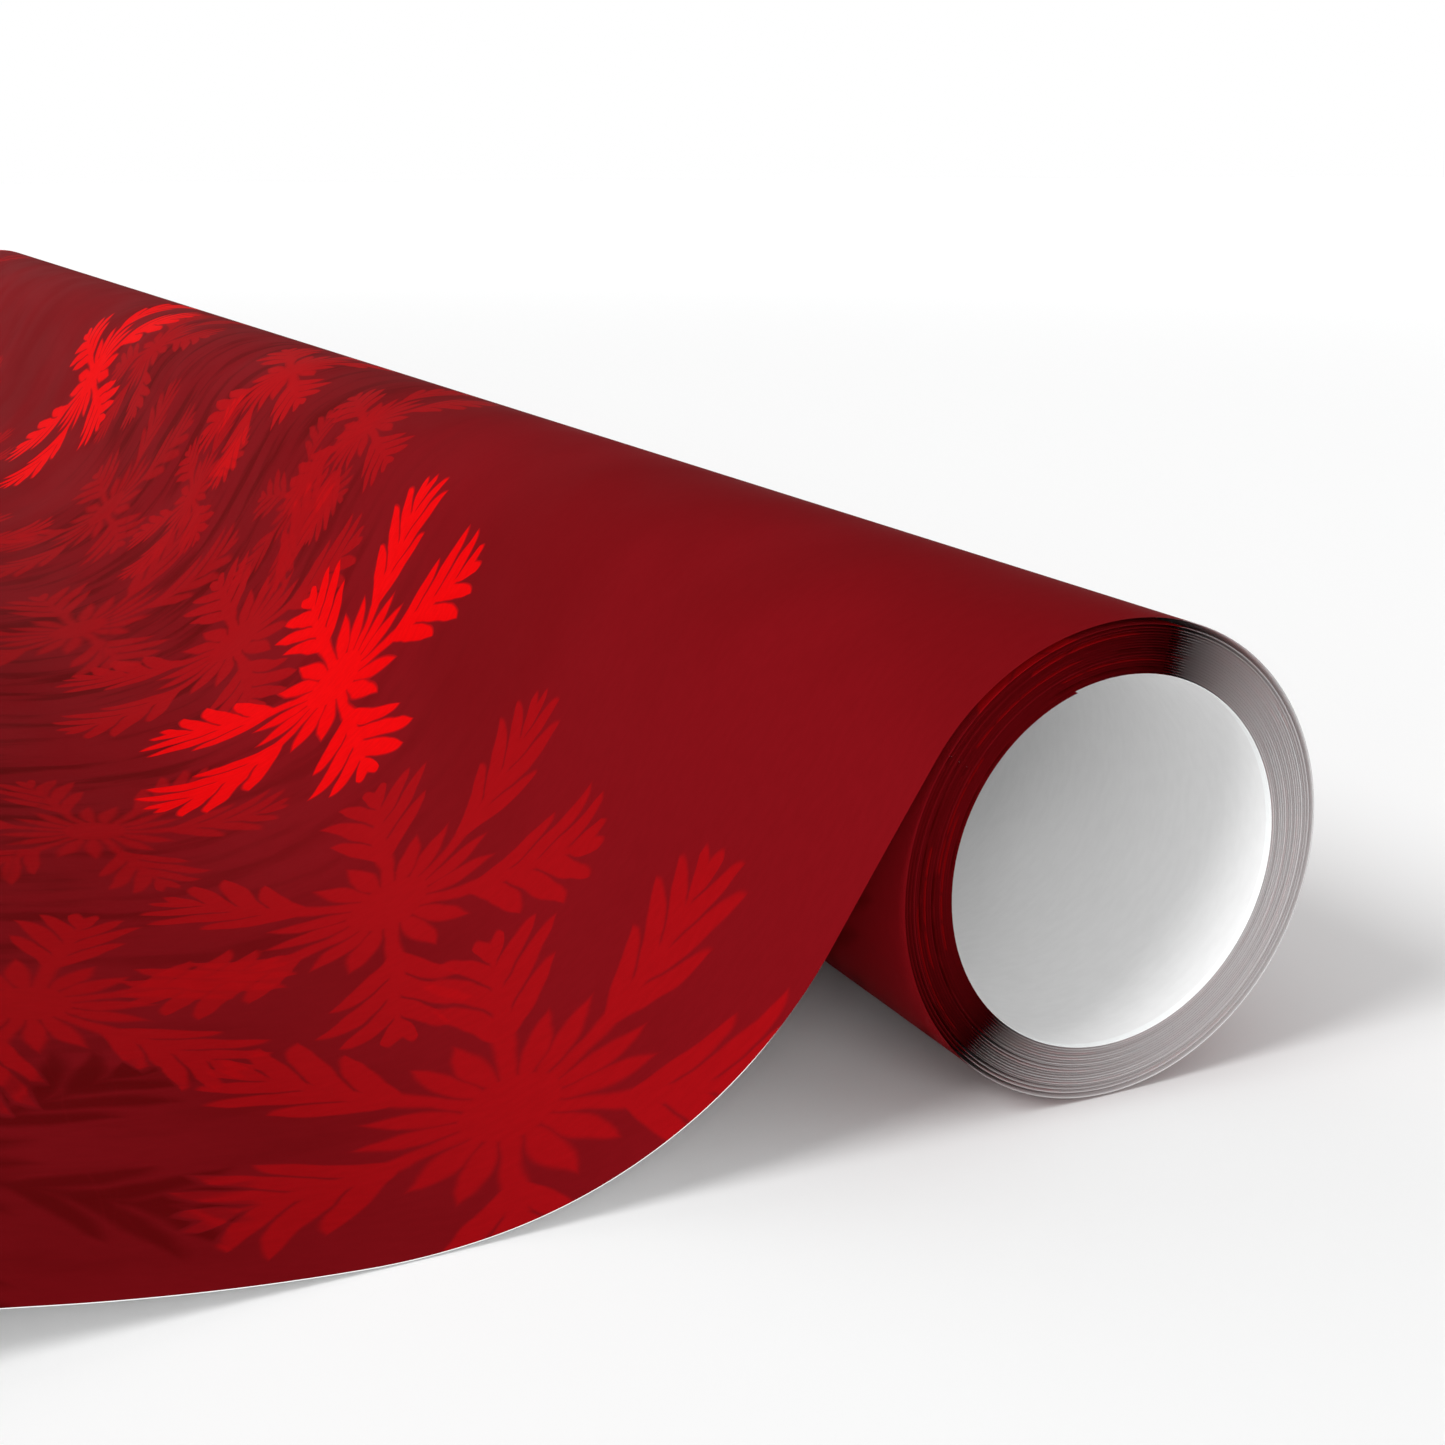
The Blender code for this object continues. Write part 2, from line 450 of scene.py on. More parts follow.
class Ink(Enum):
    """How strongly a flake is printed: 1 is the brightest red, and below 0 it darkens the ground."""

    BRIGHT = 1.0
    WARM = 0.36
    DIM = 0.17
    FAINT = 0.11
    DARK = -0.10


@dataclass(frozen=True)
class FlakePrint:
    """One flake of the repeating print. Lengths are in metres, the turn in degrees."""

    across: float  # from the near end
    along: float  # from where the sheet leaves the roll, towards the free edge
    radius: float
    turn: float
    ink: Ink
    softness: float = 0.012


FLAKES = (
    FlakePrint(0.130, 0.0265, 0.0315, -12.0, Ink.BRIGHT, 0.014),
    FlakePrint(0.395, 0.007, 0.037, -14.0, Ink.BRIGHT, 0.016),
    FlakePrint(0.247, -0.013, 0.027, -14.0, Ink.WARM, 0.018),
    FlakePrint(0.181, -0.008, 0.022, -12.0, Ink.DIM, 0.02),
    FlakePrint(0.251, 0.017, 0.021, -18.0, Ink.DIM, 0.03),
    FlakePrint(0.174, 0.032, 0.031, -10.0, Ink.DIM, 0.02),
    FlakePrint(0.065, 0.042, 0.0290, -16.0, Ink.DIM, 0.022),
    FlakePrint(0.017, 0.046, 0.0295, -18.0, Ink.DIM, 0.024),
    FlakePrint(0.058, 0.081, 0.026, -20.0, Ink.DIM, 0.03),
    FlakePrint(0.350, -0.006, 0.026, 20.0, Ink.DIM, 0.03),
    FlakePrint(0.190, 0.007, 0.020, 10.0, Ink.FAINT, 0.03),
    FlakePrint(0.114, 0.066, 0.024, 12.0, Ink.FAINT, 0.03),
    FlakePrint(0.024, 0.098, 0.030, 5.0, Ink.DARK, 0.05),
    FlakePrint(0.226, 0.050, 0.034, 4.0, Ink.FAINT, 0.03),
    FlakePrint(0.300, 0.030, 0.032, -8.0, Ink.FAINT, 0.03),
    FlakePrint(0.330, 0.074, 0.034, 15.0, Ink.DIM, 0.03),
    FlakePrint(0.440, 0.060, 0.030, -10.0, Ink.DIM, 0.02),
    FlakePrint(0.100, 0.130, 0.030, -14.0, Ink.DIM, 0.02),
    FlakePrint(0.215, 0.136, 0.028, -20.0, Ink.WARM, 0.018),
    FlakePrint(0.345, 0.128, 0.031, -10.0, Ink.DIM, 0.02),
    FlakePrint(0.465, 0.137, 0.027, 8.0, Ink.DIM, 0.02),
)


@dataclass(frozen=True)
class Bump:
    """How a finish's surface rises."""

    strength: float
    depth: float  # metres, for a height of one


@dataclass(frozen=True)
class PrintFinish:
    """Deep red matt ink on smooth paper, with flakes in brighter and darker reds."""

    ground: Colour = (0.180, 0.0038, 0.0066)
    shade: Colour = (0.085, 0.0012, 0.0014)
    dim: Colour = (0.300, 0.0030, 0.0052)
    bright: Colour = (0.700, 0.0010, 0.0020)
    dim_level: float = 0.16  # the ink at which the dim red is full
    dark_level: float = -0.16  # the ink at which the ground is darkest
    repeat_across: float = 0.520
    repeat_along: float = 0.200
    brush: float = 0.0024  # how far the outlines wander
    brush_scale: float = 110.0
    roughness: float = 0.46
    unevenness: float = 0.06  # in roughness
    specular: float = 0.002
    worn: float = 0.10  # how much the fibres darken the ink
    stroke_share: float = 0.62  # how dark the brush strokes are
    stroke_scale: float = 210.0
    stroke_stretch: float = 5.0
    stroke_range: Ends = (0.46, 0.66)
    stroke_climb: float = 1.6  # length past the roll counts this much more than distance from the near end
    stroke_in: Ends = (0.09, 0.24)  # where the strokes fade in, in metres of that sum
    stroke_out: Ends = (0.34, 0.44)  # where they fade out again
    stroke_left: float = 0.15  # the share of the strokes that stays further on
    blotch_share: float = 0.22
    blotch_scale: float = 17.0
    blotch_range: Ends = (0.42, 0.62)
    bump: Bump = Bump(0.15, 0.00006)

    def ink(self, g: Graph, web: Socket, flake: bpy.types.NodeTree) -> Value:
        """The sum of every flake's ink.

        Args:
            g: the material's graph.
            web: the place on the web.
            flake: the feather flake group.

        Returns:
            The ink's socket.
        """
        split = g.add("ShaderNodeSeparateXYZ")
        g.feed(split.inputs[0], web)
        total: Value = 0.0
        for item in FLAKES:
            node = g.group(
                flake,
                Across=split.outputs[0],
                Along=split.outputs[1],
                Centre_Across=item.across + self.brush / 2,
                Centre_Along=item.along + self.brush / 2,
                Radius=item.radius,
                Turn=math.radians(item.turn),
                Repeat_Across=self.repeat_across,
                Repeat_Along=self.repeat_along,
                Softness=item.softness,
            )
            total = g.math("MULTIPLY_ADD", node.outputs["Mask"], item.ink.value, total)
        return total

    def strokes(self, g: Graph, web: Socket) -> Socket:
        """Dark brush strokes: noise drawn out along the web.

        They fade in where the distance from the near end plus 1.6 times the length past the roll grows, and
        out again further on, so that both ends stay plainer.

        Args:
            g: the material's graph.
            web: the place on the web.

        Returns:
            The strokes' mask.
        """
        split = g.add("ShaderNodeSeparateXYZ")
        g.feed(split.inputs[0], web)
        climb = g.math("MULTIPLY_ADD", split.outputs[1], self.stroke_climb, split.outputs[0])
        leaving = g.soft(climb, *self.stroke_out, (1.0, self.stroke_left))
        brushed = g.math("MULTIPLY", g.soft(climb, *self.stroke_in), leaving)
        drawn = g.add("ShaderNodeMapping")
        drawn.inputs["Scale"].default_value = (1.0, 1.0 / self.stroke_stretch, 1.0)
        g.feed(drawn.inputs["Vector"], web)
        stroke = g.noise(drawn.outputs[0], self.stroke_scale, 3.0).outputs["Fac"]
        return g.math("MULTIPLY", g.soft(stroke, *self.stroke_range), brushed)

    def build(self, grain: bpy.types.NodeTree, flake: bpy.types.NodeTree) -> bpy.types.Material:
        """The printed side: the flakes' ink picks a red between the shaded ground and the brightest.

        Args:
            grain: the paper grain group.
            flake: the feather flake group.

        Returns:
            The material.
        """
        material, g, shader = new_material("printed paper")
        web = g.add("ShaderNodeUVMap", uv_map=UV_NAME).outputs[0]
        drift = g.add("ShaderNodeVectorMath", operation="MULTIPLY_ADD")
        g.feed(drift.inputs[0], g.noise(web, self.brush_scale, 2.0).outputs["Color"])
        drift.inputs[1].default_value = (self.brush, self.brush, 0.0)
        g.feed(drift.inputs[2], web)
        ink = self.ink(g, drift.outputs[0], flake)
        blotch = g.soft(g.noise(web, self.blotch_scale, 3.0).outputs["Fac"], *self.blotch_range)
        blotches = g.math("MULTIPLY", blotch, self.blotch_share)
        dark = g.math("MULTIPLY_ADD", self.strokes(g, drift.outputs[0]), self.stroke_share, blotches)
        plain = g.mix(dark, self.ground, self.shade)
        ground = g.mix(g.soft(ink, 0.0, self.dark_level), plain, self.shade)
        dimmed = g.mix(g.soft(ink, 0.0, self.dim_level), ground, self.dim)
        lit = g.mix(g.soft(ink, self.dim_level, 1.0), dimmed, self.bright)
        paper = g.group(grain, Vector=web, Fineness=1.0)
        worn = g.math("MULTIPLY", paper.outputs["Fibre"], self.worn)
        g.feed(shader.inputs["Base Color"], g.mix(worn, lit, self.shade))
        rough = g.math("MULTIPLY_ADD", paper.outputs["Cloud"], self.unevenness, self.roughness)
        g.feed(shader.inputs["Roughness"], rough)
        shader.inputs["Specular IOR Level"].default_value = self.specular
        add_bump(g, shader, paper.outputs["Height"], self.bump)
        material.diffuse_color = (*self.ground, 1.0)
        return material


@dataclass(frozen=True)
class PlainPaperFinish:
    """Unprinted paper: the white back, or the cut edge, whose thin near-black line at the print side is the
    ink's edge, darkened as painted shade for the dark gaps between the wound turns.
    """

    name: str
    tone: Colour
    fibre_tone: Colour
    fibre_share: float
    roughness: float
    fineness: float  # of the grain, against the print's
    # near black, darker than the red ink: painted shade of the gaps between the wound turns
    ink_and_shade_line_tone: Colour = (0.05, 0.02, 0.02)
    ink_and_shade_line_from: float = 0.93  # share of the thickness, from the back, at which the ink's line begins; the line is painted shade between the turns
    ink_and_shade_line_share: float = 0.0  # how much of the painted shade line shows
    unevenness: float = 0.06  # in roughness
    specular: float = 0.25
    bump: Bump = Bump(0.2, 0.00008)

    def build(self, grain: bpy.types.NodeTree) -> bpy.types.Material:
        """Plain paper: its fibres tint the tone slightly and raise a soft bump.

        Args:
            grain: the paper grain group.

        Returns:
            The material.
        """
        material, g, shader = new_material(self.name)
        web = g.add("ShaderNodeUVMap", uv_map=UV_NAME).outputs[0]
        paper = g.group(grain, Vector=web, Fineness=self.fineness)
        share = g.math("MULTIPLY", paper.outputs["Fibre"], self.fibre_share)
        tone = g.mix(share, self.tone, self.fibre_tone)
        depth = g.add("ShaderNodeAttribute", attribute_name=DEPTH_NAME).outputs["Fac"]
        # the ink's edge on the cut, darkened past the ink's red: painted shade between the turns
        ink_and_shade_line = g.math("MULTIPLY", g.soft(depth, self.ink_and_shade_line_from, 1.0), self.ink_and_shade_line_share)
        g.feed(shader.inputs["Base Color"], g.mix(ink_and_shade_line, tone, self.ink_and_shade_line_tone))
        rough = g.math("MULTIPLY_ADD", paper.outputs["Cloud"], self.unevenness, self.roughness)
        g.feed(shader.inputs["Roughness"], rough)
        shader.inputs["Specular IOR Level"].default_value = self.specular
        add_bump(g, shader, paper.outputs["Height"], self.bump)
        material.diffuse_color = (*self.tone, 1.0)
        return material


WHITE_BACK = PlainPaperFinish(
    name="white back",
    tone=(0.89, 0.89, 0.89),
    fibre_tone=(0.82, 0.82, 0.82),
    fibre_share=0.35,
    roughness=0.82,
    fineness=1.0,
)
CUT_EDGE = PlainPaperFinish(
    name="cut edge",
    tone=(0.95, 0.97, 0.97),
    fibre_tone=(0.88, 0.89, 0.89),
    fibre_share=0.4,
    roughness=0.85,
    fineness=2.0,
    # the cut edge shows its painted shade line
    ink_and_shade_line_share=0.75,
)


def new_material(name: str) -> tuple[bpy.types.Material, Graph, bpy.types.Node]:
    """A node material with its Principled shader.

    Args:
        name: the material's name.

    Returns:
        The material, its graph and its shader node.
    """
    material = bpy.data.materials.new(name)
    material.use_nodes = True
    graph = Graph(material.node_tree)
    return material, graph, material.node_tree.nodes["Principled BSDF"]


def add_bump(g: Graph, shader: bpy.types.Node, height: Socket, bump: Bump) -> None:
    """Feeds a height into the shader's normal through a Bump node.

    Args:
        g: the material's graph.
        shader: its Principled shader.
        height: the height's socket, 0 to 1.
        bump: how strongly it shows, and how high it stands.
    """
    node = g.add("ShaderNodeBump")
    node.inputs["Strength"].default_value = bump.strength
    node.inputs["Distance"].default_value = bump.depth
    g.feed(node.inputs["Height"], height)
    g.feed(shader.inputs["Normal"], node.outputs[0])


# ----------------------------------------------------------------------------------------------------
# The web's middle line
# ----------------------------------------------------------------------------------------------------


@dataclass(frozen=True)
class Widening:
    """A looser place in the winding: an extra radial gap that opens over part of a turn."""

    at: float  # turns in from where the sheet leaves the roll
    spread: float  # turns
    extra: float  # metres


@dataclass(frozen=True)
class Sag:
    """A turn that stands a little closer to its inner neighbour over part of its way round."""

    middle: float  # turns in from where the sheet leaves the roll
    depth: float  # metres
    flat: float = 0.14  # turns to each side of the middle at full depth
    fade: float = 0.20  # turns over which it dies away

    def at(self, turn: np.ndarray) -> np.ndarray:
        """The depth of the sag: a step in and a step out again.

        Args:
            turn: turns in from the take-off line.

        Returns:
            How far the turn lies inside its even place.
        """
        into = smooth_step(turn, self.middle - self.flat - self.fade, self.middle - self.flat)
        out = smooth_step(turn, self.middle + self.flat, self.middle + self.flat + self.fade)
        return self.depth * (into - out)


@dataclass(frozen=True)
class Winding:
    """The roll: a spiral wound inwards from the take-off line."""

    radius: float = 0.022
    bore_radius: float = 0.0168
    turns: float = 20.0 + 40.0 / 360.0
    takeoff_angle: float = 147.6  # degrees from +Y, over the top
    step: float = 2.5  # degrees between stations
    paper: float = 0.00007  # the paper's thickness
    lift: float = 0.0003  # how far the last turn springs off the roll before it leaves
    lift_from: float = 52.0  # degrees before the take-off
    looser: tuple[Widening, ...] = (
        Widening(0.60, 0.32, 0.00036),
        Widening(2.0, 0.006, 0.00010),
    )
    sags: tuple[Sag, ...] = (
        Sag(3.90, 0.00012),
        Sag(4.90, 0.00004),
        Sag(10.90, 0.00003),
        Sag(11.90, 0.00012),
    )

    def middle_radius(self, turn: np.ndarray) -> np.ndarray:
        """The spiral's radius. It falls evenly with each turn, and again at each looser place and each sag.

        Args:
            turn: turns in from the take-off line.

        Returns:
            The middle line's radius there.
        """
        extra = sum(item.extra for item in self.looser)
        outside = self.radius - self.paper / 2
        inside = self.bore_radius + self.paper / 2
        radius = outside - (outside - inside - extra) * turn / self.turns
        for item in self.looser:
            radius = radius - item.extra * smooth_step(turn, item.at, item.at + item.spread)
        for sag in self.sags:
            radius = radius - sag.at(turn)
        before = turn * 360.0
        return radius + self.lift * (1.0 - smooth_step(before, 0.0, self.lift_from))

    def stations(self) -> tuple[np.ndarray, np.ndarray, np.ndarray]:
        """Points of the spiral from its inner end out to the take-off, about an axis at the origin.

        Returns:
            The y and z of each station, and its turns in from the take-off.
        """
        count = round(self.turns * 360.0 / self.step)
        turn = np.linspace(self.turns, 0.0, count + 1)
        angle = np.radians(self.takeoff_angle - turn * 360.0)
        radius = self.middle_radius(turn)
        return radius * np.cos(angle), radius * np.sin(angle), turn


@dataclass(frozen=True)
class Bend:
    """A stretch of the sheet that turns evenly. A turn to the left, seen from the near end, is positive."""

    turn: float  # degrees
    radius: float


@dataclass(frozen=True)
class FreeSheet:
    """The unrolled sheet: a slope, a hollow bend that touches the surface, and a low arch."""

    hollow: float = 0.041  # radius of the bend at the slope's foot
    hollow_exit: float = 7.5  # the slope at its end: degrees, falling is positive
    touch: float = 0.0515  # radius of the bend that touches the surface
    touch_exit: float = -4.2
    rise: float = 0.187  # radius of the arch's rising side
    rise_exit: float = -11.6
    arch: float = 0.14  # radius of its top and its falling side
    spacing: float = 0.0011  # between stations
    clearance: float = 0.00002  # above the surface

    def drop(self, from_slope: float, to_slope: float, radius: float) -> float:
        """Height lost on a bend between two slopes: radius times the difference of their cosines."""
        return radius * (math.cos(math.radians(to_slope)) - math.cos(math.radians(from_slope)))

    def stretches(self, start_height: float, slope: float, half: float) -> list[tuple[float, float]]:
        """The sheet as runs of even curvature, each a length and a turn in degrees.

        The slope is as long as it takes to bring the underside to the surface, and the arch turns until its
        end is back on it.

        Args:
            start_height: height of the middle line at the take-off.
            slope: the take-off slope in degrees.
            half: half of the paper's thickness.

        Returns:
            The runs in order.
        """
        base = half + self.clearance
        bends = (
            Bend(-(slope - self.hollow_exit), self.hollow),
            Bend(-self.hollow_exit, self.touch),
            Bend(self.touch_exit, self.touch),
            Bend(self.rise_exit - self.touch_exit, self.rise),
            Bend(-self.rise_exit, self.arch),
        )
        fall = self.drop(slope, self.hollow_exit, self.hollow)
        fall += self.drop(self.hollow_exit, 0.0, self.touch)
        run = (start_height - base - fall) / math.sin(math.radians(slope))
        low = base + self.touch * (1.0 - math.cos(math.radians(self.touch_exit)))
        low += self.drop(self.rise_exit, self.touch_exit, self.rise)
        crest = low + self.drop(self.rise_exit, 0.0, self.arch)
        last_turn = math.degrees(math.acos(1.0 - (crest - base) / self.arch))
        runs = [(run, 0.0)]
        for bend in (*bends, Bend(last_turn, self.arch)):
            runs.append((abs(math.radians(bend.turn)) * bend.radius, bend.turn))
        return runs


class WebLine:
    """The web's middle line: stations with their place, direction and developed length."""

    def __init__(
        self, winding: Winding, sheet: FreeSheet, axis: tuple[float, float], cuts: tuple[float, ...]
    ) -> None:
        """Works out every station.

        Args:
            winding: the roll.
            sheet: the unrolled sheet.
            axis: y and z of the roll's axis.
            cuts: lengths past the take-off where a station has to stand.
        """
        coil_y, coil_z, turn = winding.stations()
        coil_y, coil_z = coil_y + axis[0], coil_z + axis[1]
        steps = np.hypot(np.diff(coil_y), np.diff(coil_z))
        coil_s = np.concatenate([[0.0], np.cumsum(steps)]) - steps.sum()
        slope = winding.takeoff_angle - 90.0
        runs = sheet.stretches(float(coil_z[-1]), slope, winding.paper / 2)
        start = (float(coil_y[-1]), float(coil_z[-1]))
        sheet_y, sheet_z, sheet_s = self.follow(runs, start, 180.0 + slope, sheet.spacing, cuts)
        self.y = np.concatenate([coil_y, sheet_y[1:]])
        self.z = np.concatenate([coil_z, sheet_z[1:]])
        self.s = np.concatenate([coil_s, sheet_s[1:]])
        self.turn = np.concatenate([turn, np.zeros(len(sheet_s) - 1)])
        along_y, along_z = np.gradient(self.y, self.s), np.gradient(self.z, self.s)
        size = np.hypot(along_y, along_z)
        self.along = np.stack([along_y / size, along_z / size], axis=1)
        self.out = np.stack([self.along[:, 1], -self.along[:, 0]], axis=1)
        self.paper = winding.paper

    @staticmethod
    def follow(
        runs: list[tuple[float, float]], start: tuple[float, float], heading: float, spacing: float,
        cuts: tuple[float, ...],
    ) -> tuple[np.ndarray, np.ndarray, np.ndarray]:
        """Walks along runs of even curvature.

        On a run of curvature k the heading is h + k s, and the place is the exact integral of its cosine
        and sine: a chord of length sin(k s / 2) / (k / 2) in the direction h + k s / 2.

        Args:
            runs: each run's length and turn in degrees.
            start: the first point.
            heading: the first direction in degrees.
            spacing: the most between stations.
            cuts: lengths where a station has to stand.

        Returns:
            The y, z and length of each station.
        """
        y, z, s = [np.array([start[0]])], [np.array([start[1]])], [np.array([0.0])]
        gone, place = 0.0, np.array(start, float)
        for length, turn in runs:
            inside = [cut - gone for cut in cuts if HAIR < cut - gone < length - HAIR]
            even = np.linspace(0.0, length, math.ceil(length / spacing) + 1)
            local = np.unique(np.concatenate([even, inside]))[1:]
            bend = math.radians(turn) / length
            middle = math.radians(heading) + bend * local / 2
            chord = local * np.sinc(bend * local / (2 * math.pi))
            y.append(place[0] + chord * np.cos(middle))
            z.append(place[1] + chord * np.sin(middle))
            s.append(gone + local)
            place = np.array([y[-1][-1], z[-1][-1]])
            gone += length
            heading += turn
        return np.concatenate(y), np.concatenate(z), np.concatenate(s)

    def at(self, length: float) -> Vector:
        """The point of the middle line at a length past the take-off."""
        y, z = np.interp(length, self.s, self.y), np.interp(length, self.s, self.z)
        return Vector((0.0, float(y), float(z)))

    def nearest(self, y: float, z: float) -> float:
        """The developed length, past the take-off, of the station nearest to a point."""
        free = self.s >= 0.0
        gaps = np.hypot(self.y[free] - y, self.z[free] - z)
        return float(self.s[free][int(np.argmin(gaps))])

    def between(self, low: float, high: float) -> slice:
        """The stations from one developed length to another."""
        first = int(np.searchsorted(self.s, low - HAIR))
        last = int(np.searchsorted(self.s, high + HAIR))
        return slice(first, last)


# ----------------------------------------------------------------------------------------------------
# Pieces
# ----------------------------------------------------------------------------------------------------


@dataclass(frozen=True)
class Wave:
    """One slow sine over the web."""

    weight: float
    across: float  # radians for each metre from the near end
    along: float  # radians for each metre past the take-off
    phase: float = 0.0  # radians

    def at(self, across: np.ndarray | float, along: np.ndarray) -> np.ndarray:
        """The wave's height at a place on the web."""
        return self.weight * np.sin(across * self.across + along * self.along + self.phase)


@dataclass(frozen=True)
class PaperShell:
    """Turns a stretch of the web's line into a closed thin shell of paper."""

    line: WebLine
    width: float = 0.762
    wander: float = 0.00002  # how far the web's edge wanders from turn to turn
    edge_waves: tuple[Wave, ...] = (
        Wave(1.0, 0.0, 7.3),
        Wave(0.8, 0.0, 19.7, 0.6),
        Wave(0.5, 0.0, 41.0, 1.1),
    )
    edge_settles: Ends = (-0.30, -0.14)  # over this stretch of the web the wandering dies away
    skew: float = 0.00075  # how far the cut leans: the print side reaches past the back by this much
    skew_ends: Ends = (0.010, 0.030)  # over this stretch the cut comes to stand square
    swell: float = 0.00016  # the sheet's slight waves, outwards only
    sheet_waves: tuple[Wave, ...] = (
        Wave(1.0, 29.0, 17.0),
        Wave(1.0, 13.0, -43.0, 1.9),
        Wave(0.6, 61.0, 31.0, 0.7),
    )
    swell_starts: Ends = (-0.012, 0.012)

    def waves(self, across: np.ndarray, along: np.ndarray) -> np.ndarray:
        """The sheet's gentle waves: a sum of slow sines, raised so that it is never below zero.

        Args:
            across: distance from the near end.
            along: developed length past the take-off.

        Returns:
            The height of the wave along the print side's normal.
        """
        total = sum(wave.at(across, along) for wave in self.sheet_waves)
        highest = sum(wave.weight for wave in self.sheet_waves)
        return self.swell * (total / highest + 1.0) / 2 * smooth_step(along, *self.swell_starts)

    def edge_shift(self, along: np.ndarray) -> np.ndarray:
        """How far the web stands along X where it was wound a little askew: slow sines of its length."""
        shift = sum(wave.at(0.0, along) for wave in self.edge_waves)
        return self.wander * shift * (1.0 - smooth_step(along, *self.edge_settles))

    def build(
        self, name: str, part: slice, columns: int, finishes: list[bpy.types.Material]
    ) -> bpy.types.Object:
        """The shell over a grid of stations and columns: print side, back, and the four cut edges.

        Each print point is the middle line plus half the thickness along the print normal, and each back
        point is the same distance below it. Where the web is wound, the blade left the cut leaning, so the
        back ends a little short of the print.

        Args:
            name: the piece's name.
            part: its stations.
            columns: how many grid lines run along the web.
            finishes: the materials in the order of Side.

        Returns:
            The piece.
        """
        web = self.line
        s, half = web.s[part, None], web.paper / 2
        x = np.linspace(-self.width / 2, self.width / 2, columns)[None, :]
        across = self.width / 2 - x
        lift = self.waves(across, s)
        lean = self.skew * (1.0 - smooth_step(s, *self.skew_ends)) * np.sign(x)
        lean = np.where(np.abs(x) > self.width / 2 - HAIR, lean, 0.0)
        sides = []
        for offset, pulled in ((lift + half, 0.0), (lift - half, lean)):
            y = web.y[part, None] + web.out[part, 0, None] * offset
            z = web.z[part, None] + web.out[part, 1, None] * offset
            sides.append(np.stack(np.broadcast_arrays(x + self.edge_shift(s) - pulled, y, z), axis=-1))
        rows = s.shape[0]
        points = np.concatenate([side.reshape(-1, 3) for side in sides])
        uv = np.stack(np.broadcast_arrays(across, s), axis=-1).reshape(-1, 2)
        faces, kinds = self.faces(rows, columns)
        mesh = bpy.data.meshes.new(name)
        mesh.from_pydata(points, [], faces)
        mesh.polygons.foreach_set("material_index", kinds)
        layer = mesh.uv_layers.new(name=UV_NAME)
        corners = np.empty(len(mesh.loops), np.int32)
        mesh.loops.foreach_get("vertex_index", corners)
        layer.data.foreach_set("uv", uv[corners % len(uv)].astype(np.float32).ravel())
        depth = mesh.attributes.new(DEPTH_NAME, "FLOAT", "POINT")
        depth.data.foreach_set("value", np.repeat([1.0, 0.0], rows * columns).astype(np.float32))
        for finish in finishes:
            mesh.materials.append(finish)
        mesh.shade_smooth()
        mesh.set_sharp_from_angle(angle=SHARP_ANGLE)
        piece = bpy.data.objects.new(name, mesh)
        bpy.context.scene.collection.objects.link(piece)
        return piece

    @staticmethod
    def faces(rows: int, columns: int) -> tuple[np.ndarray, np.ndarray]:
        """The shell's quads and the side that each one belongs to, with every face pointing out.

        Args:
            rows: stations along the web.
            columns: grid lines across it.

        Returns:
            The corner numbers of each quad, and its Side value.
        """
        top = np.arange(rows * columns).reshape(rows, columns)
        low = top + rows * columns
        printed = np.stack([top[:-1, :-1], top[1:, :-1], top[1:, 1:], top[:-1, 1:]], axis=-1).reshape(-1, 4)
        back = np.stack([low[:-1, :-1], low[:-1, 1:], low[1:, 1:], low[1:, :-1]], axis=-1).reshape(-1, 4)
        near = np.stack([top[:-1, -1], top[1:, -1], low[1:, -1], low[:-1, -1]], axis=-1)
        far = np.stack([top[1:, 0], top[:-1, 0], low[:-1, 0], low[1:, 0]], axis=-1)
        first = np.stack([top[0, :-1], top[0, 1:], low[0, 1:], low[0, :-1]], axis=-1)
        last = np.stack([top[-1, 1:], top[-1, :-1], low[-1, :-1], low[-1, 1:]], axis=-1)
        cut = np.concatenate([near, far, first, last])
        groups = ((printed, Side.PRINT), (back, Side.BACK), (cut, Side.CUT))
        faces = np.concatenate([quads for quads, _ in groups])
        kinds = np.concatenate([np.full(len(quads), side.value) for quads, side in groups])
        return faces, kinds.astype(np.int32)


@dataclass(frozen=True)
class TurnGroup:
    """A group of neighbouring turns that slides and spins as one tube."""

    name: str
    body: str
    node: str
    outer_turn: float  # turns in from the take-off
    inner_turn: float


class Coil:
    """The turns inside the roll."""

    GROUPS = (
        TurnGroup("paper_outer_turns", "outer_coil", "outer_turns", 2.0, 6.0),
        TurnGroup("paper_middle_turns", "middle_coil", "middle_turns", 6.0, 10.0),
        TurnGroup("paper_inner_turns", "inner_coil", "inner_turns", 10.0, 15.0),
        TurnGroup("paper_core_turns", "core_coil", "core_turns", 15.0, math.inf),
    )
    COLUMNS = 9  # straight along X, so a few are enough

    def __init__(self, shell: PaperShell, finishes: list[bpy.types.Material]) -> None:
        """Takes the paper and its finishes."""
        self.shell = shell
        self.finishes = finishes

    def build(self) -> None:
        """Builds each group of turns, and hands it to its body."""
        web = self.shell.line
        for group in self.GROUPS:
            after, before = web.turn > group.outer_turn + HAIR, web.turn < group.inner_turn + HAIR
            inside = np.flatnonzero(after & before)
            part = slice(int(inside[0]), int(inside[-1]) + 1)
            piece = self.shell.build(group.name, part, self.COLUMNS, self.finishes)
            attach(piece, group.body)
            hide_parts(group.node)
            length = float(web.s[part][-1] - web.s[part][0])
            report(piece, length)


@dataclass(frozen=True)
class Strip:
    """A stretch of the sheet around one hinge line, between two bodies."""

    name: str
    joint: str
    before: str
    after: str
    node: str
    reach: float  # a distance to each side of the hinge line
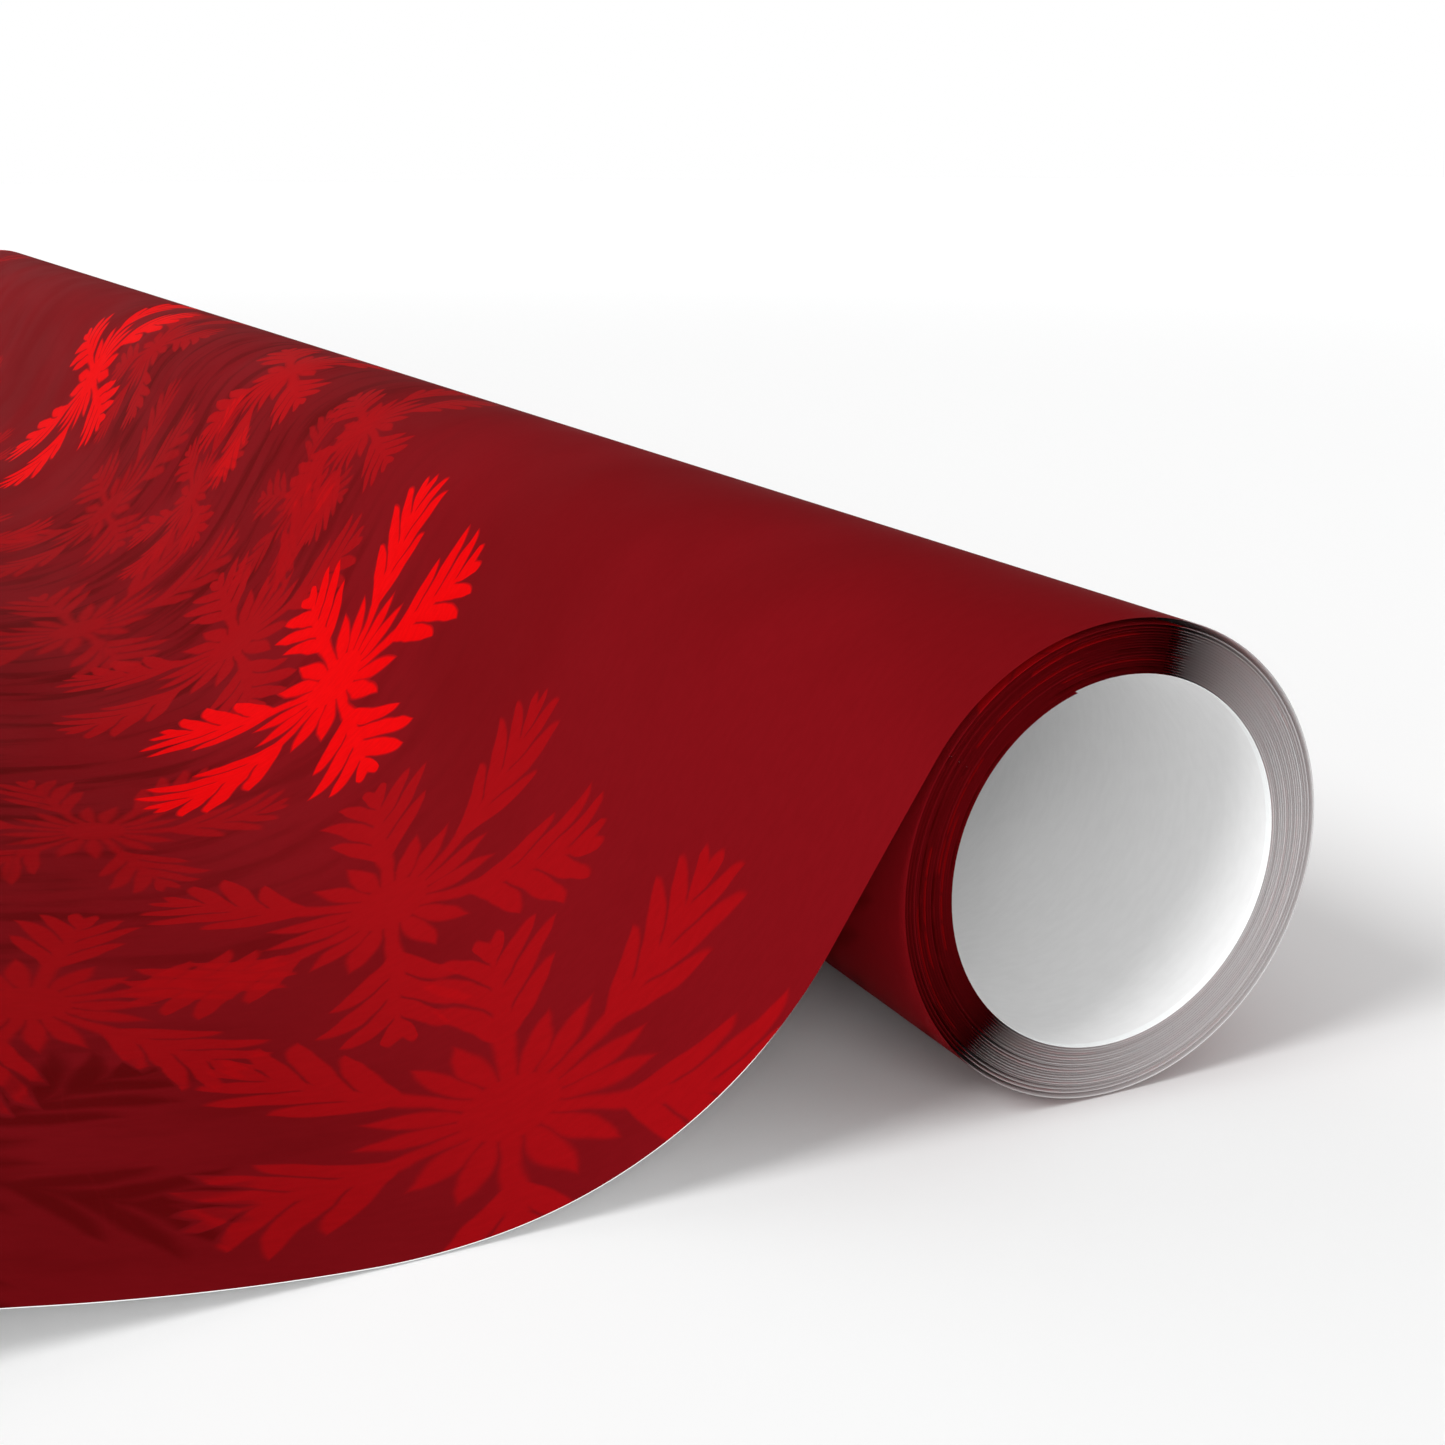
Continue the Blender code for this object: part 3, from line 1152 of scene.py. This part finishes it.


class Sheet:
    """The last turns of the roll and the unrolled sheet."""

    STRIPS = (
        Strip("paper_takeoff", "takeoff_flex", "wrap", "ramp", "sheet_ramp", 0.0062),
        Strip("paper_landing", "landing_flex", "ramp", "landing", "sheet_landing", 0.0100),
        Strip("paper_rise", "rise_flex", "landing", "rise", "sheet_rise", 0.0110),
        Strip("paper_crest", "crest_flex", "rise", "fall", "sheet_fall", 0.0090),
        Strip("paper_free_end", "tail_flex", "fall", "tail", "sheet_tail", 0.0090),
    )
    WRAP_TURNS = 2.0
    COLUMNS = 65  # enough for the sheet's waves
    TAKEOFF_CUT = 0.0006  # length past the take-off where the last turns end and the sheet starts

    def __init__(
        self, shell: PaperShell, finishes: list[bpy.types.Material], hinges: dict[str, float]
    ) -> None:
        """Takes the paper, its finishes, and the developed length at which each hinge line lies."""
        self.shell = shell
        self.finishes = finishes
        self.hinges = hinges

    def build(self) -> None:
        """Builds the last turns, then each strip between the middles of two panels."""
        web = self.shell.line
        start = float(web.s[np.flatnonzero(web.turn <= self.WRAP_TURNS + HAIR)[0]])
        turns = web.between(start, self.TAKEOFF_CUT)
        wrap = self.shell.build("paper_last_turns", turns, self.COLUMNS, self.finishes)
        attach(wrap, "wrap")
        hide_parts("outer_wrap")
        length = self.TAKEOFF_CUT - start
        report(wrap, length)
        cuts = strip_cuts(self.hinges, self.TAKEOFF_CUT, float(web.s[-1]))
        for strip, low, high in zip(self.STRIPS, cuts, cuts[1:]):
            hinge = self.hinges[strip.joint]
            piece = self.shell.build(strip.name, web.between(low, high), self.COLUMNS, self.finishes)
            low_point, high_point = web.at(hinge - strip.reach), web.at(hinge + strip.reach)
            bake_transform(piece)
            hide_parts(strip.node)
            report(piece, high - low)


def strip_cuts(hinges: dict[str, float], first: float, last: float) -> list[float]:
    """Where the sheet is divided: at its start, midway between neighbouring hinge lines, and at its end.

    Args:
        hinges: the developed length of each hinge line, in order.
        first: the start of the first strip.
        last: the free edge.

    Returns:
        The lengths of the divisions.
    """
    places = list(hinges.values())
    return [first, *((a + b) / 2 for a, b in zip(places, places[1:])), last]


def report(piece: bpy.types.Object, length: float) -> None:
    """Logs a finished piece.

    Args:
        piece: the piece.
        length: its developed length along the web, in metres.
    """
    LOG.info("%s: %d faces, %.1f mm of paper", piece.name, len(piece.data.polygons), 1000.0 * length)


# ----------------------------------------------------------------------------------------------------
# Studio
# ----------------------------------------------------------------------------------------------------


@dataclass(frozen=True)
class Lamp:
    """A distant soft light."""

    name: str
    towards: tuple[float, float, float]  # where it stands, seen from the roll's near end
    spread: float  # degrees
    power: float


@dataclass(frozen=True)
class Studio:
    """A white table in soft white light, with the camera close to the near end of the roll."""

    camera_from_end: tuple[float, float, float] = (0.13306, -0.10277, 0.08136)
    camera_yaw: float = 64.11
    camera_pitch: float = -15.77
    lens: float = 50.0
    sensor: float = 36.0
    clip: Ends = (0.005, 50.0)
    table_size: float = 12.0
    table_drop: float = 0.00005
    table_tone: Colour = (0.915, 0.915, 0.915)
    # painted light: the table's tone far from the object
    far_painted_light_tone: Colour = (0.985, 0.985, 0.985)
    painted_light_from: Ends = (0.35, 1.3)  # distances over which the surface brightens: painted light
    table_roughness: float = 0.8
    sky: float = 0.51  # the surround's light, against 1 for the white that the camera sees
    lamps: tuple[Lamp, ...] = (
        Lamp("key", (0.12, -1.0, 0.80), 24.0, 1.88),
        Lamp("fill", (1.0, -0.32, 0.23), 50.0, 1.70),
        Lamp("back", (-1.0, -0.30, 0.62), 60.0, 0.30),
    )

    def camera(self, end: Vector) -> None:
        """The camera, placed from the middle of the near end.

        Args:
            end: the near end of the roll's axis, at the height of the table.
        """
        data = bpy.data.cameras.new("camera")
        data.lens, data.sensor_width = self.lens, self.sensor
        data.clip_start, data.clip_end = self.clip
        camera = bpy.data.objects.new("camera", data)
        camera.location = end + Vector(self.camera_from_end)
        camera.rotation_euler = (math.radians(90.0 + self.camera_pitch), 0.0, math.radians(self.camera_yaw))
        bpy.context.scene.collection.objects.link(camera)
        bpy.context.scene.camera = camera

    def table(self, centre: Vector) -> None:
        """The white surface: a wide square a hair below the paper, with painted light that makes it a
        little brighter far from the object.

        Args:
            centre: the middle of the object.
        """
        half = self.table_size / 2
        corners = np.array([(-1, -1, 0), (1, -1, 0), (1, 1, 0), (-1, 1, 0)], float) * half
        corners += (centre.x, centre.y, -self.table_drop)
        mesh = bpy.data.meshes.new("table")
        mesh.from_pydata(corners, [], [(0, 1, 2, 3)])
        material, g, shader = new_material("table")
        place = g.add("ShaderNodeTexCoord").outputs["Object"]
        reach = g.add("ShaderNodeVectorMath", operation="DISTANCE")
        g.feed(reach.inputs[0], place)
        reach.inputs[1].default_value = (centre.x, centre.y, 0.0)
        # painted light: the table's colour brightens away from the object
        far = g.soft(reach.outputs["Value"], *self.painted_light_from)
        g.feed(shader.inputs["Base Color"], g.mix(far, self.table_tone, self.far_painted_light_tone))
        shader.inputs["Roughness"].default_value = self.table_roughness
        shader.inputs["Specular IOR Level"].default_value = 0.0
        mesh.materials.append(material)
        table = bpy.data.objects.new("table", mesh)
        bpy.context.scene.collection.objects.link(table)
        table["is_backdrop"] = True

    def lights(self, aim: Vector) -> None:
        """The lamps, and an even white surround.

        Args:
            aim: what the lamps point at.
        """
        for lamp in self.lamps:
            data = bpy.data.lights.new(lamp.name, "SUN")
            data.energy, data.angle = lamp.power, math.radians(lamp.spread)
            light = bpy.data.objects.new(lamp.name, data)
            light.location = aim + Vector(lamp.towards)
            light.rotation_euler = (aim - light.location).to_track_quat("-Z", "Y").to_euler()
            bpy.context.scene.collection.objects.link(light)
        world = bpy.data.worlds.new("surround")
        world.use_nodes = True
        g = Graph(world.node_tree)
        seen = g.add("ShaderNodeLightPath").outputs["Is Camera Ray"]
        background = world.node_tree.nodes["Background"]
        background.inputs["Color"].default_value = (1.0, 1.0, 1.0, 1.0)
        g.feed(background.inputs["Strength"], g.math("MULTIPLY_ADD", seen, 1.0 - self.sky, self.sky))
        bpy.context.scene.world = world

    def build(self, low: Vector, high: Vector, roll_y: float) -> None:
        """Sets up the camera, the surface, the lights and the plain view transform.

        Args:
            low: the object's lowest corner.
            high: its highest corner.
            roll_y: where the roll's axis lies.
        """
        end = Vector((high.x, roll_y, 0.0))
        self.camera(end)
        self.table((low + high) / 2)
        self.lights(end)
        bpy.context.scene.view_settings.view_transform = "Standard"


def hinge_places(joints: list[dict], web: WebLine) -> dict[str, float]:
    """The developed length at which each hinge line of the sheet lies.

    Args:
        joints: the frame's joints.
        web: the web's line.

    Returns:
        Each sheet joint's name and its length past the take-off, in order.
    """
    wanted = {strip.joint for strip in Sheet.STRIPS}
    found = {joint["name"]: web.nearest(*joint["pos_m"][1:]) for joint in joints if joint["name"] in wanted}
    return dict(sorted(found.items(), key=lambda item: item[1]))


def main() -> None:
    """Builds the roll, the sheet and the studio."""
    logging.basicConfig(level=logging.INFO, format="%(name)s: %(message)s", stream=sys.stdout)
    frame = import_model()
    cad_low, cad_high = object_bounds()
    wrap_low, wrap_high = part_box("outer_turns")
    axis = ((wrap_low.y + wrap_high.y) / 2, (wrap_low.z + wrap_high.z) / 2)
    Studio().build(cad_low, cad_high, axis[0])

    grain = PaperGrain().build()
    flake = FeatherFlake().build()
    finishes = [PrintFinish().build(grain, flake), WHITE_BACK.build(grain), CUT_EDGE.build(grain)]
    winding, sheet = Winding(), FreeSheet()
    draft = WebLine(winding, sheet, axis, ())
    hinges = hinge_places(frame["joints"], draft)
    cuts = strip_cuts(hinges, Sheet.TAKEOFF_CUT, float(draft.s[-1]))
    shell = PaperShell(WebLine(winding, sheet, axis, tuple(cuts[:-1])))
    Coil(shell, finishes).build()
    Sheet(shell, finishes, hinges).build()


if __name__ == "__main__":
    main()
